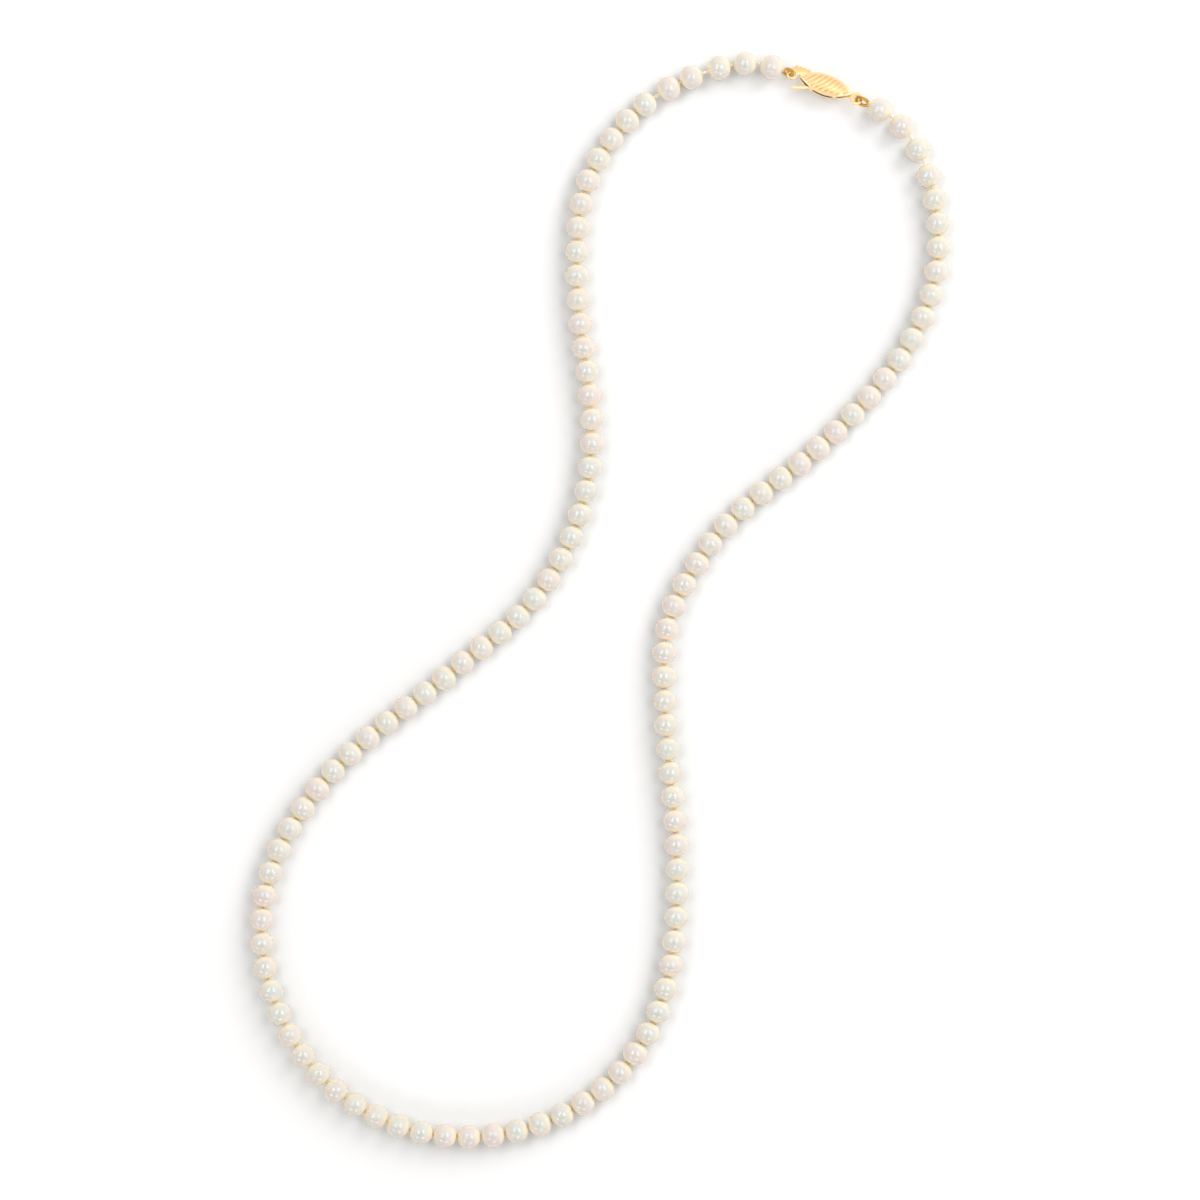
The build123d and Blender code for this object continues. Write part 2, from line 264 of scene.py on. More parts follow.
def nacre():
    """Cream nacre, cloudy under a clear gloss, each pearl with its own overtone, and a painted glow: yellow
    towards the drill holes, for the light that bounces between touching pearls.
    """
    m = Shader("cream_nacre")
    tone = m.ramp(
        m.attribute("tone"),
        (0.0, (0.69, 0.64, 0.61)),
        (0.35, (0.68, 0.655, 0.61)),
        (0.7, (0.665, 0.665, 0.60)),
        (1.0, (0.65, 0.665, 0.62)),
    )
    # Painted glow: the colour turns yellow towards each drill hole, in place of the light bounced between
    # touching pearls.
    glow_painted = m.mix(m.attribute("painted_contact_glow"), tone, (0.95, 0.87, 0.64))
    clouds = m.ramp(m.noise(420, 4.0), (0.3, (0.94, 0.94, 0.96)), (0.7, (1.0, 1.0, 1.0)))
    m.drive("Base Color", m.mix(1.0, glow_painted, clouds, "MULTIPLY"))
    m.drive("Roughness", m.span(m.noise(900, 3.0), 0.12, 0.2))
    m.constant(
        IOR=1.62,
        Specular_IOR_Level=0.6,
        Subsurface_Weight=0.55,
        Subsurface_Radius=(1.0, 0.72, 0.5),
        Subsurface_Scale=1.1 * MM,
        Coat_Weight=1.0,
        Coat_Roughness=0.07,
        Coat_IOR=1.65,
        Coat_Tint=(1.0, 0.975, 0.91, 1),
        Thin_Film_Thickness=330.0,
        Thin_Film_IOR=1.4,
    )
    m.bump(m.noise(1500, 5.0, 0.6), 0.003 * MM, 0.4)
    return m.material


def silk(name, light, dark):
    """Twisted silk: light and dark fibre streaks and a soft sheen."""
    m = Shader(name)
    fibres = m.noise(9000, 4.0, 0.7)
    m.drive("Base Color", m.ramp(fibres, (0.3, dark), (0.65, light)))
    m.drive("Roughness", m.span(fibres, 0.5, 0.75))
    m.constant(
        Sheen_Weight=0.4,
        Sheen_Roughness=0.4,
        Subsurface_Weight=0.2,
        Subsurface_Scale=0.3 * MM,
    )
    m.bump(fibres, 0.02 * MM, 0.6)
    return m.material


# Painted shade: dark brown over the inner skin and inner edge of each half of the case.
CASE_INSIDE_SHADE = (0.45, 0.25, 0.08)


def gold(name, pale, deep, rough, scratch_scale, patch_scale=350, valley=None):
    """Gold alloy: slow colour drift and fine polishing lines; with valley, painted shade and highlight on
    the flutes (tan in the valleys and engraved drops, pale on the ridges) and a dark brown painted shade
    over the case's inside.
    """
    m = Shader(name)
    colour = m.ramp(m.noise(patch_scale, 3.0), (0.3, deep), (0.7, pale))
    fine = m.noise(scratch_scale, 5.0, 0.65, 0.6)
    if valley:
        # Painted shade and highlight: tan where the flutes and drops are deep, the pale metal left on the
        # ridges.
        colour = m.mix(m.attribute("valley"), colour, valley)
        # Painted shade: the inside of the case dark brown.
        colour = m.mix(m.attribute("inside"), colour, CASE_INSIDE_SHADE)
    m.drive("Base Color", colour)
    m.drive("Roughness", m.span(fine, rough[0], rough[1], 0.3, 0.7))
    m.constant(Metallic=1.0)
    m.bump(fine, 0.001 * MM, 0.25)
    return m.material


NACRE = nacre()
SILK = silk("knotted_silk", (0.95, 0.85, 0.70), (0.84, 0.71, 0.56))
KNOT_SILK = silk("knot_silk", (0.88, 0.85, 0.79), (0.70, 0.66, 0.60))
GOLD = gold("polished_gold", (0.99, 0.65, 0.32), (0.96, 0.61, 0.28), (0.3, 0.36), 12000)
CASE_GOLD = gold(
    "case_gold",
    (1.0, 0.80, 0.50),
    (0.98, 0.76, 0.45),
    (0.4, 0.48),
    9000,
    # Tan painted into the flute valleys and drops as shade; the ridges keep the pale colour as a painted
    # highlight.
    valley=(0.94, 0.57, 0.25),
)
GIMP_GOLD = gold(
    "gimp_wire_gold",
    (0.80, 0.52, 0.10),
    (0.56, 0.33, 0.05),
    (0.3, 0.45),
    6000,
    patch_scale=900,
)


# ---------------------------------------------------------------- small helpers
def piece(name, vertices, faces, material, body, stands_for=(), attributes=None):
    """A new smooth mesh that rides on a body and may stand for CAD nodes."""
    mesh = bpy.data.meshes.new(name)
    mesh.from_pydata(np.asarray(vertices).tolist(), [], faces)
    mesh.update()
    for label, values in (attributes or {}).items():
        layer = mesh.attributes.new(label, "FLOAT", "POINT")
        layer.data.foreach_set("value", np.asarray(values, np.float32))
    mesh.materials.append(material)
    mesh.shade_smooth()
    obj = bpy.data.objects.new(name, mesh)
    bpy.context.scene.collection.objects.link(obj)
    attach(obj, body)
    if stands_for:
        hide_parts(*stands_for)
    return obj


def body_of(node):
    """Name of the body that a CAD node rides on."""
    return NODES[node]["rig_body"]


def grid_faces(rows, around, closed=True):
    """Quads between rows of points, around to a row. Each row closes into a ring, or stays an open strip."""
    faces = []
    for row in range(rows - 1):
        for k in range(around if closed else around - 1):
            following = (k + 1) % around
            a = row * around
            b = a + around
            faces.append((a + k, a + following, b + following, b + k))
    return faces


def run_lengths(points):
    """Length of the path from its first point to each of its points."""
    return np.r_[0, np.cumsum(np.linalg.norm(np.diff(points, axis=0), axis=1))]


def across_axis(axis):
    """Two directions across an axis that lies flat or nearly so, square to it and to each other."""
    side = np.cross(axis, [0, 0, 1.0])
    side /= np.linalg.norm(side)
    return side, np.cross(axis, side)


def path_frames(points):
    """Points with their tangents, normals and binormals, carried along without sudden turns."""
    points = np.asarray(points)
    tangents = np.gradient(points, axis=0)
    tangents /= np.linalg.norm(tangents, axis=1)[:, None]
    normal = np.cross(tangents[0], [0.0, 0.0, 1.0])
    if np.linalg.norm(normal) < 0.1:
        normal = np.cross(tangents[0], [1.0, 0.0, 0.0])
    normals = []
    for tangent in tangents:
        normal = normal - tangent * (normal @ tangent)
        normal = normal / np.linalg.norm(normal)
        normals.append(normal)
    normals = np.array(normals)
    return points, tangents, normals, np.cross(tangents, normals)


def tube(points, radius, around, lobe=0.0, pitch=1.0, capped=True):
    """Vertices and faces of a tube, with round ends if capped. lobe and pitch make it a two-ply thread."""
    points, tangents, normals, binormals = path_frames(points)
    run = run_lengths(points)
    radii = np.full(len(points), radius)
    if capped:
        steps = np.arange(1, CAP_ROWS + 1) / (CAP_ROWS + 1)
        reach = radius * np.sqrt(1 - steps**2)[:, None]
        start = points[0] - tangents[0] * reach
        end = (points[-1] + tangents[-1] * reach)[::-1]
        points = np.vstack([start, points, end])
        ends = (CAP_ROWS, CAP_ROWS)
        normals = np.pad(normals, (ends, (0, 0)), "edge")
        binormals = np.pad(binormals, (ends, (0, 0)), "edge")
        run = np.pad(run, ends, "edge")
        radii = np.r_[steps * radius, radii, steps[::-1] * radius]
    angles = np.linspace(0, 2 * np.pi, around, endpoint=False)
    twist = angles[None, :] + 2 * np.pi * run[:, None] / pitch
    spread = radii[:, None] * (1 - lobe + lobe * np.abs(np.cos(twist)))
    rings = (
        points[:, None, :]
        + spread[..., None] * np.cos(angles)[None, :, None] * normals[:, None, :]
        + spread[..., None] * np.sin(angles)[None, :, None] * binormals[:, None, :]
    )
    faces = grid_faces(len(points), around)
    faces.append(tuple(range(around))[::-1])
    last = (len(points) - 1) * around
    faces.append(tuple(range(last, last + around)))
    return rings.reshape(-1, 3), faces


def joined(shapes):
    """Several (vertices, faces) shapes as one."""
    vertices, faces, offset = [], [], 0
    for shape_vertices, shape_faces in shapes:
        vertices.append(shape_vertices)
        faces += [tuple(i + offset for i in face) for face in shape_faces]
        offset += len(shape_vertices)
    return np.vstack(vertices), faces


# ---------------------------------------------------------------- the strand, read from the frame
SAME_POINT = 0.0005 * MM


def islands(mesh):
    """Point sets of the separate solids in a CAD node."""
    bm = bmesh.new()
    bm.from_mesh(mesh)
    bmesh.ops.remove_doubles(bm, verts=bm.verts, dist=SAME_POINT)
    unseen = set(bm.verts)
    found = []
    while unseen:
        front = [unseen.pop()]
        points = []
        while front:
            vert = front.pop()
            points.append(vert.co[:])
            for edge in vert.link_edges:
                other = edge.other_vert(vert)
                if other in unseen:
                    unseen.remove(other)
                    front.append(other)
        found.append(np.array(points))
    bm.free()
    return found


def read_pearl(points):
    """Centre, drill axis and radius of one CAD pearl, from the rims of its drill hole."""
    centre = (points.min(0) + points.max(0)) / 2
    distance = np.linalg.norm(points - centre, axis=1)
    rims = points[distance < DRILL_RIM_REACH]
    centre = rims.mean(0)
    axis = np.linalg.svd(rims - centre, full_matrices=False)[2][0]
    ends = (rims - centre) @ axis
    centre = centre + axis * (ends.max() + ends.min()) / 2
    return {"centre": centre, "axis": axis, "radius": distance.max()}


def read_strand(start):
    """Every pearl in order round the loop, beginning at the one nearest to start."""
    strand, here = [], np.asarray(start)
    for section in SECTIONS:
        left = [read_pearl(points) for points in islands(NODES[f"pearls_{section}"].data)]
        while left:
            distances = [np.linalg.norm(pearl["centre"] - here) for pearl in left]
            nearest = left.pop(int(np.argmin(distances)))
            nearest["section"] = section
            if (nearest["centre"] - here) @ nearest["axis"] < 0:
                nearest["axis"] = -nearest["axis"]
            here = nearest["centre"]
            strand.append(nearest)
    return strand


def knuckles_of(strand):
    """Bending points: the two outer drill holes and the middle of each gap between pearls."""
    marks = [strand[0]["centre"] - strand[0]["axis"] * DRILL_HALF_LENGTH]
    for before, after in zip(strand, strand[1:]):
        leaving = before["centre"] + before["axis"] * DRILL_HALF_LENGTH
        entering = after["centre"] - after["axis"] * DRILL_HALF_LENGTH
        marks.append((leaving + entering) / 2)
    marks.append(strand[-1]["centre"] + strand[-1]["axis"] * DRILL_HALF_LENGTH)
    return marks


# ---------------------------------------------------------------- the clasp's frame, read from the frame
CLASP_ALONG = np.array([math.cos(CLASP_HEADING), math.sin(CLASP_HEADING), 0])
LEVEL_ACROSS = np.array([-math.sin(CLASP_HEADING), math.cos(CLASP_HEADING), 0])
CLASP_UP = LEVEL_ACROSS * math.sin(CLASP_ROLL) + np.array([0, 0, math.cos(CLASP_ROLL)])
CLASP_UP = CLASP_UP / np.linalg.norm(CLASP_UP)
CLASP_ACROSS = np.cross(CLASP_UP, CLASP_ALONG)


def node_points(node):
    """Corners of a CAD node's mesh."""
    mesh = NODES[node].data
    points = np.empty(len(mesh.vertices) * 3, np.float32)
    mesh.vertices.foreach_get("co", points)
    return points.reshape(-1, 3).astype(float)


def clasp_origin():
    """Centre of the clasp: level with the hook's plate, beside the catch post."""
    post = node_points("catch_post")
    middle = (post.min(0) + post.max(0)) / 2
    heights = node_points("hook_plate") @ CLASP_UP
    level = (heights.min() + heights.max()) / 2
    return middle - CLASP_ALONG * POST_X + CLASP_UP * (level - middle @ CLASP_UP)


CLASP_CENTRE = clasp_origin()


def from_clasp(local):
    """Points in the clasp's own frame, moved to the model's frame."""
    local = np.atleast_2d(local)
    axes = np.array([CLASP_ALONG, CLASP_ACROSS, CLASP_UP])
    return CLASP_CENTRE + local @ axes


EYE = from_clasp([EYE_X, 0, 0])[0]
RING = from_clasp([RING_X, RING_Y, 0])[0]
STRAND = read_strand(EYE)
KNUCKLES = knuckles_of(STRAND)


# ---------------------------------------------------------------- pearls
def pearl_shape(pearl, dice):
    """One pearl: rounded body, lips at the drill hole and the start of the hole's wall."""
    axis = pearl["axis"]
    side, other = across_axis(axis)
    radius = pearl["radius"]
    lip = math.asin((HOLE_R + HOLE_LIP) / radius)
    sweep_angles = np.linspace(lip, math.pi - lip, PEARL_PROFILE)
    outline = [(radius * math.sin(a), PEARL_HALF_LENGTH * math.cos(a)) for a in sweep_angles]
    top = outline[0][1]
    lips = [
        (HOLE_R, top - HOLE_DEPTH),
        (HOLE_R, top - HOLE_LIP),
        (HOLE_R + LIP_STEP, top - LIP_STEP),
    ]
    outline = [*lips, *outline, *[(r, -z) for r, z in reversed(lips)]]
    angles = np.linspace(0, 2 * np.pi, PEARL_AROUND, endpoint=False)
    profile = np.array(outline)
    waves = [(dice.uniform(0, 2 * np.pi), dice.uniform(0.3, 1.0)) for _ in WOBBLE_ORDERS]
    swell = sum(share * np.cos(order * angles + turn) for order, (turn, share) in zip(WOBBLE_ORDERS, waves))
    fade = (profile[:, 0] / radius) ** 2
    wobble = PEARL_WOBBLE * fade[:, None] * swell[None, :] / WOBBLE_SCALE
    across = profile[:, :1] * (1 - PEARL_WOBBLE + wobble)
    skew = 1 - PEARL_WOBBLE * dice.uniform(0, 1) * fade[:, None] * np.cos(angles + waves[0][0])[None, :]
    rings = (
        pearl["centre"]
        + (across * skew)[..., None] * np.cos(angles)[None, :, None] * side
        + (across * skew)[..., None] * np.sin(angles)[None, :, None] * other
        + np.broadcast_to(profile[:, 1:, None], (len(profile), len(angles), 1)) * axis
    )
    vertices = rings.reshape(-1, 3)
    axial = np.abs(profile[:, 1]) / PEARL_HALF_LENGTH
    # Painted glow mask: 0 over the pearl's middle, rising to 1 at the drill holes where the pearls touch.
    drill = np.clip((axial - GLOW_PAINT_FROM) / (1 - GLOW_PAINT_FROM), 0, 1) ** GLOW_PAINT_POWER
    return vertices, grid_faces(len(profile), PEARL_AROUND), np.repeat(drill, PEARL_AROUND)


def make_pearls():
    """One mesh for each section of the strand."""
    dice = random.Random(PEARL_SEED)
    for section in SECTIONS:
        shapes, glow_paints, tones = [], [], []
        for pearl in STRAND:
            if pearl["section"] == section:
                vertices, faces, drill = pearl_shape(pearl, dice)
                shapes.append((vertices, faces))
                glow_paints.append(drill)
                tones.append(np.full(len(vertices), dice.random()))
        vertices, faces = joined(shapes)
        node = f"pearls_{section}"
        # Masks: the painted glow between touching pearls, and each pearl's own tone.
        attributes = {"painted_contact_glow": np.concatenate(glow_paints), "tone": np.concatenate(tones)}
        piece(f"nacre_{section}", vertices, faces, NACRE, body_of(node), [node], attributes)


# ---------------------------------------------------------------- silk and knots
def along(points, step):
    """Points at even steps along straight runs."""
    placed = []
    for start, end in zip(points, points[1:]):
        count = max(2, round(np.linalg.norm(end - start) / step))
        placed += [start + (end - start) * k / count for k in range(count)]
    return np.array([*placed, points[-1]])


def knot_shape(centre, axis, turn):
    """Tight overhand knot seen as the lump between two pearls."""
    t = np.linspace(0, 2 * np.pi, KNOT_STEPS + 1)[:-1]
    side, other = across_axis(axis)
    x = (np.sin(t + turn) + 2 * np.sin(2 * t)) / 3
    y = (np.cos(t + turn) - 2 * np.cos(2 * t)) / 3
    z = -np.sin(3 * t) * KNOT_LENGTH_SHARE
    loop = centre + KNOT_R * (x[:, None] * side + y[:, None] * other + z[:, None] * axis)
    loop = np.vstack([loop, loop[:1]])
    return tube(loop, KNOT_TUBE_R, KNOT_AROUND, SILK_LOBE, KNOT_PITCH, capped=False)


def make_silk():
    """Thread through each section, and the knots that stand between its pearls."""
    first = 0
    for section in SECTIONS:
        count = sum(pearl["section"] == section for pearl in STRAND)
        node = f"thread_{section}"
        route = along(KNUCKLES[first : first + count + 1], SILK_STEP)
        vertices, faces = tube(route, SILK_R, SILK_AROUND, SILK_LOBE, SILK_PITCH)
        piece(f"silk_{section}", vertices, faces, SILK, body_of(node), [node])
        for gap in KNOT_GAPS:
            if first <= gap < first + count - 1:
                before, after = STRAND[gap], STRAND[gap + 1]
                direction = after["centre"] - before["centre"]
                direction /= np.linalg.norm(direction)
                vertices, faces = knot_shape(KNUCKLES[gap + 1], direction, KNOT_TURN * gap)
                piece(f"knot_{gap + 1}", vertices, faces, KNOT_SILK, body_of(node))
        first += count


# ---------------------------------------------------------------- gimps
def rounded_path(corners, radii, step):
    """Points along straight runs joined by tangent arcs."""
    corners = [np.asarray(c, float) for c in corners]
    placed = [corners[0]]
    for before, here, after, radius in zip(corners, corners[1:], corners[2:], radii):
        a = (before - here) / np.linalg.norm(before - here)
        b = (after - here) / np.linalg.norm(after - here)
        half = math.acos(np.clip(a @ b, -1, 1)) / 2
        reach = radius / math.tan(half)
        middle = here + (a + b) / np.linalg.norm(a + b) * radius / math.sin(half)
        start, end = here + a * reach, here + b * reach
        first, last = start - middle, end - middle
        turn = math.acos(np.clip(first @ last / radius**2, -1, 1))
        for share in np.linspace(0, 1, max(3, int(turn * radius / step))):
            arm = (math.sin((1 - share) * turn) * first + math.sin(share * turn) * last) / math.sin(turn)
            placed.append(middle + arm)
    placed.append(corners[-1])
    return along(placed, step)


def coil(points, radius, wire_radius, pitch):
    """Wire wound round a path."""
    points, _, normals, binormals = path_frames(points)
    run = run_lengths(points)
    turns = run[-1] / pitch
    samples = np.linspace(0, run[-1], int(turns * GIMP_TURN_STEPS))

    def at_samples(values):
        return np.stack([np.interp(samples, run, values[:, k]) for k in range(3)], 1)

    angle = (2 * np.pi * samples / pitch)[:, None]
    outwards = np.cos(angle) * at_samples(normals) + np.sin(angle) * at_samples(binormals)
    wire = at_samples(points) + (radius - wire_radius) * outwards
    return tube(wire, wire_radius, GIMP_WIRE_AROUND)


def make_gimp(side, mouth, eye, band_radius):
    """Loop from a pearl's drill hole round the band of an eye and back: thread inside a coil of wire."""
    direction = (eye - mouth) / np.linalg.norm(eye - mouth)
    lean = np.array([0, 0, math.cos(GIMP_TILT)]) + LEVEL_ACROSS * math.sin(GIMP_TILT)
    upward = np.cross(np.cross(direction, lean), direction)
    upward /= np.linalg.norm(upward)
    far = np.linalg.norm(eye - mouth) - band_radius + GIMP_HALF_SPREAD

    def corners(start, spread):
        upper = ((start, spread), (GIMP_FLARE, GIMP_HALF_SPREAD), (far, GIMP_HALF_SPREAD))
        flat = [*upper, *[(x, -y) for x, y in reversed(upper)]]
        return [mouth + direction * x + upward * y for x, y in flat]

    radii = (GIMP_FLARE_R, GIMP_BEND_R, GIMP_BEND_R, GIMP_FLARE_R)
    node = f"gimp_{side}"
    route = rounded_path(corners(GIMP_START, GIMP_MOUTH_SPREAD), radii, GIMP_STEP)
    vertices, faces = coil(route, GIMP_R, GIMP_WIRE_R, GIMP_PITCH)
    piece(f"gimp_coil_{side}", vertices, faces, GIMP_GOLD, body_of(node), [node])
    node = f"thread_loop_{side}"
    route = rounded_path(corners(LOOP_START, LOOP_MOUTH_SPREAD), radii, LOOP_STEP)
    vertices, faces = tube(route, LOOP_SILK_R, LOOP_AROUND, SILK_LOBE, SILK_PITCH)
    piece(f"silk_loop_{side}", vertices, faces, SILK, body_of(node), [node])


# ---------------------------------------------------------------- clasp case
def cap_radius(half_span, drop):
    """Radius of an arc that falls by drop over half_span."""
    return (half_span**2 + drop**2) / (2 * drop)


def half_width(x):
    """Half width of the marquise outline at x."""
    radius = cap_radius(CASE_LENGTH / 2, CASE_WIDTH / 2)
    return math.sqrt(max(radius**2 - x**2, 0)) - (radius - CASE_WIDTH / 2)


def flute_depth(x, y, edge):
    """Rounded slanting ribs that fade out at the rim, and a drop engraved at the end of each valley."""
    bend = FLUTE_BOW * (x * math.cos(FLUTE_ANGLE) + y * math.sin(FLUTE_ANGLE)) ** 2
    phase = (x * math.sin(FLUTE_ANGLE) - y * math.cos(FLUTE_ANGLE) + bend) / FLUTE_SPACING
    valley = 1 - abs(math.cos(math.pi * phase)) ** FLUTE_SHARPNESS
    fade = min(1.0, max(0.0, (edge - RIM_WIDTH) / FLUTE_FADE))
    depth = FLUTE_DEPTH * valley * fade * fade * (3 - 2 * fade)
    if y < 0:
        nearness = math.exp(-(((edge - DROP_INSET) / DROP_REACH) ** 2))
        depth += DROP_DEPTH * nearness * (0.5 - 0.5 * math.cos(2 * math.pi * phase)) ** 2
    return depth


def openness(x):
    """0 where the two halves are joined, 1 along the slits between them."""
    return 1 - max(math.exp(-(((x - place) / SEAM_JOINT_WIDTH) ** 4)) for place in SEAM_JOINTS)


def seam_height(x):
    """Height of a half's lower edge over the middle plane: wide open at the mouth, a slit elsewhere."""
    mouth = 1 / (1 + math.exp((x - MOUTH_END) / MOUTH_STEP))
    slit = (CASE_SEAM * openness(x) + CLOSED_SEAM) / 2
    return slit + (MOUTH_HEIGHT / 2 - slit) * mouth


def case_skins(height, side_drop, end_drop, sign, fluted):
    """Grids of points of the outer and the inner skin of one half, and the outer skin's flute depths."""
    along_r = cap_radius(CASE_LENGTH / 2, end_drop)
    across_r = cap_radius(CASE_WIDTH / 2, side_drop)
    tip = CASE_LENGTH / 2 - CASE_TIP_CUT
    wall = CASE_WALL if fluted else RIM_WALL

    def fall(x, y):
        return (along_r - math.sqrt(along_r**2 - x**2)) + (across_r - math.sqrt(across_r**2 - y**2))

    outer, inner, depths = [], [], []
    for i in range(CASE_COLUMNS):
        x = -tip * math.cos(math.pi * i / (CASE_COLUMNS - 1))
        width = half_width(x)
        inset = SLIT_INSET * openness(x) * min(1.0, width / SLIT_FULL_WIDTH) if fluted else 0.0
        for k in range(CASE_ROWS):
            share = -math.cos(math.pi * k / (CASE_ROWS - 1))
            reach = width - inset if share < 0 else width
            y = reach * share
            edge = (reach - abs(y)) * EDGE_SLANT
            depth = flute_depth(x, y, edge) if fluted else 0.0
            # The flute depth, as a share, is kept as the mask of the painted valley shade.
            depths.append(depth / FLUTE_DEPTH)
            roll = max(0.0, 1 - edge / RIM_ROLL_WIDTH)
            outer.append((x, y, sign * (height - fall(x, y) - depth - RIM_ROLL_DROP * roll**2)))
            y = max(reach - wall, INNER_LEAST_SHARE * reach) * share
            inner.append((INNER_LENGTH_SHARE * x, y, sign * (height - fall(x, y) - CASE_WALL)))
    return np.array(outer), np.array(inner), depths


def grid_rim():
    """Numbers of the points round the rim of one skin's grid, in order."""
    last_column = (CASE_COLUMNS - 1) * CASE_ROWS
    rim = [i * CASE_ROWS for i in range(CASE_COLUMNS)]
    rim += [last_column + k for k in range(1, CASE_ROWS)]
    rim += [i * CASE_ROWS + CASE_ROWS - 1 for i in range(CASE_COLUMNS - 2, -1, -1)]
    rim += [k for k in range(CASE_ROWS - 2, 0, -1)]
    return rim


def case_half(name, height, side_drop, end_drop, sign, fluted):
    """Outer skin, side walls, lower edge and inner skin of one half of the case, as one closed shell."""
    outer, inner, depths = case_skins(height, side_drop, end_drop, sign, fluted)
    count = len(outer)
    faces = grid_faces(CASE_COLUMNS, CASE_ROWS, closed=False)
    faces += [tuple(i + count for i in reversed(face)) for face in faces]
    rim = grid_rim()
    vertices = [outer, inner]
    rings = [rim]
    offset = 2 * count
    for skin in (outer, inner):
        lower = skin[rim].copy()
        lower[:, 2] = [sign * seam_height(x) for x in lower[:, 0]]
        vertices.append(lower)
        rings.append(list(range(offset, offset + len(rim))))
        offset += len(rim)
    rings.append([i + count for i in rim])
    for first, second in zip(rings, rings[1:]):
        for k in range(len(rim)):
            after = (k + 1) % len(rim)
            faces.append((first[after], first[k], second[k], second[after]))
    if sign < 0:
        faces = [tuple(reversed(face)) for face in faces]
    vertices = np.vstack(vertices)
    others = len(vertices) - count
    # Masks of painted shade: tan in the flutes and drops, dark brown over the inner skin and inner edge.
    marks = {
        "valley": np.r_[depths, np.zeros(others)],
        "inside": np.r_[np.zeros(count), np.ones(count), np.zeros(len(rim)), np.ones(len(rim))],
    }
    label = f"fluted_{name}" if fluted else f"plain_{name}"
    piece(label, from_clasp(vertices), faces, CASE_GOLD, body_of(name), [name], marks)


# ---------------------------------------------------------------- clasp pieces that keep their CAD shape
WELD_DISTANCE = 0.001 * MM
SOFT_EDGE = 0.04 * MM
SOFT_EDGE_ANGLE = math.radians(35)


def dress(node, material, bevel=0.0):
    """A CAD node keeps its shape; its edges are softened and it gets its material."""
    obj = NODES[node]
    obj.data.materials.clear()
    obj.data.materials.append(material)
    weld = obj.modifiers.new("weld", "WELD")
    weld.merge_threshold = WELD_DISTANCE
    if bevel:
        soft = obj.modifiers.new("soft_edges", "BEVEL")
        soft.width = bevel
        soft.segments = 3
        soft.limit_method = "ANGLE"
        soft.angle_limit = SOFT_EDGE_ANGLE
        soft.harden_normals = True
    obj.data.shade_smooth()


# ---------------------------------------------------------------- table, light and camera
CAMERA_HEIGHT = 1.15
CAMERA_NORTH = 0.1 * MM
PEARL_LEVEL = 2.7 * MM
VIEW_WIDTH = 259.2 * MM
SENSOR = 36.0
TABLE_HALF = 4.0
TABLE_CENTRE = (0, 0, 0)

# Softboxes: name, place, size along the light's own x and y, watts, and whether it shows as a glint
SOFTBOXES = (
    ("key", (0.80, 0.72, 0.70), (0.7, 0.7), 9.0, False),
    ("left_panel", (-0.42, 0.18, 0.95), (0.85, 0.34), 2.9, True),
    ("right_panel", (0.45, 0.14, 0.95), (0.85, 0.34), 2.9, True),
    ("low_left", (-0.62, -0.68, 0.55), (0.36, 0.26), 1.0, True),
    ("low_front", (0.18, -0.9, 0.55), (0.36, 0.26), 1.0, True),
)


def floor():
    """Plain matt table top."""
    m = Shader("pale_table")
    grain = m.noise(6, 2.0)
    m.drive("Base Color", m.ramp(grain, (0.0, (0.79, 0.79, 0.79)), (1.0, (0.81, 0.81, 0.81))))
    m.constant(Roughness=0.9, Specular_IOR_Level=0.1)
    mesh = bpy.data.meshes.new("table")
    corners = [(x * TABLE_HALF, y * TABLE_HALF, 0) for x, y in ((-1, -1), (1, -1), (1, 1), (-1, 1))]
    mesh.from_pydata(corners, [], [(0, 1, 2, 3)])
    mesh.materials.append(m.material)
    table = bpy.data.objects.new("table", mesh)
    bpy.context.scene.collection.objects.link(table)


def softbox(name, place, aim, size, power, glints=True):
    """Rectangular soft light. Without glints it lights surfaces but leaves no bright patch on them."""
    data = bpy.data.lights.new(name, "AREA")
    data.shape = "RECTANGLE"
    data.size, data.size_y = size
    data.energy = power
    light = bpy.data.objects.new(name, data)
    light.location = place
    light.rotation_euler = (Vector(aim) - Vector(place)).to_track_quat("-Z", "Y").to_euler()
    light.visible_glossy = glints
    bpy.context.scene.collection.objects.link(light)
    return light


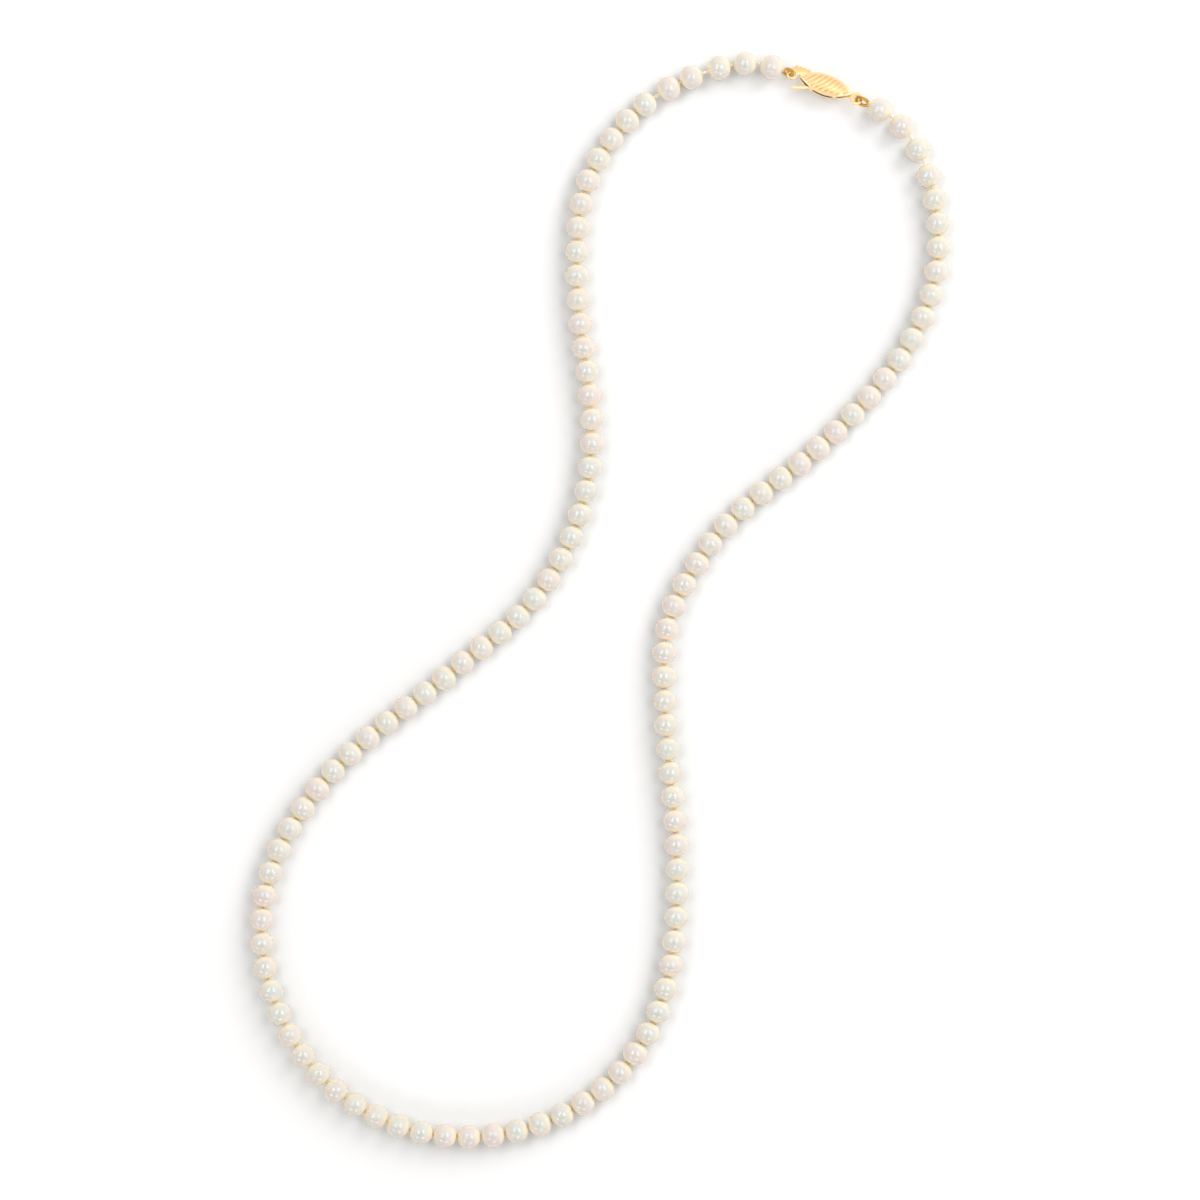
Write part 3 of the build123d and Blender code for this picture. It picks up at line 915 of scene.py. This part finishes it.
def tent():
    """Bright surroundings with a darker opening overhead."""
    world = bpy.data.worlds.new("tent")
    bpy.context.scene.world = world
    world.use_nodes = True
    nodes, links = world.node_tree.nodes, world.node_tree.links
    place = nodes.new("ShaderNodeTexCoord")
    split = nodes.new("ShaderNodeSeparateXYZ")
    links.new(place.outputs["Generated"], split.inputs[0])
    ramp = nodes.new("ShaderNodeValToRGB")
    stops = ((0.66, (0.97, 0.96, 0.94)), (0.80, (0.2, 0.19, 0.19)))
    for element, (position, colour) in zip(ramp.color_ramp.elements, stops):
        element.position = position
        element.color = (*colour, 1)
    links.new(split.outputs["Z"], ramp.inputs["Fac"])
    links.new(ramp.outputs["Color"], nodes["Background"].inputs["Color"])
    nodes["Background"].inputs["Strength"].default_value = 0.93


def metal_light():
    """Broad light from above the clasp that falls only on the gold pieces."""
    light = softbox("metal_light", (0.35, 0.55, 1.0), (0.05, 0.11, 0), (1.3, 1.3), 2.8)
    golds = (GOLD, CASE_GOLD, GIMP_GOLD)
    lit = bpy.data.collections.new("clasp_and_gimps")
    for obj in bpy.context.scene.objects:
        slots = obj.material_slots
        if obj.type == "MESH" and slots and slots[0].material in golds:
            lit.objects.link(obj)
    light.light_linking.receiver_collection = lit


def studio():
    """Tent, slanting key light, softboxes beside the camera and in front, and a light for the gold."""
    tent()
    for name, place, size, power, glints in SOFTBOXES:
        softbox(name, place, TABLE_CENTRE, size, power, glints)
    metal_light()


def camera():
    """Camera straight above the table, framed as the photograph is."""
    data = bpy.data.cameras.new("camera")
    data.sensor_width = SENSOR
    data.lens = SENSOR * (CAMERA_HEIGHT - PEARL_LEVEL) / VIEW_WIDTH
    data.clip_start = 0.05
    data.clip_end = 20
    view = bpy.data.objects.new("camera", data)
    view.location = (0, CAMERA_NORTH, CAMERA_HEIGHT)
    bpy.context.scene.collection.objects.link(view)
    bpy.context.scene.camera = view
    bpy.context.scene.view_settings.view_transform = "Standard"


# ---------------------------------------------------------------- build
make_pearls()
make_silk()
make_gimp("left", KNUCKLES[0], EYE, EYE_BAND_R)
make_gimp("right", KNUCKLES[-1], RING, RING_BAND_R)
case_half("case_top", TOP_HEIGHT, TOP_SIDE_DROP, TOP_END_DROP, 1, True)
case_half("case_back", BACK_DEPTH, BACK_SIDE_DROP, BACK_END_DROP, -1, False)
dress("hook_plate", GOLD, SOFT_EDGE)
dress("release_tab", GOLD, SOFT_EDGE)
dress("case_ring", GOLD)
dress("catch_post", GOLD)
floor()
studio()
camera()
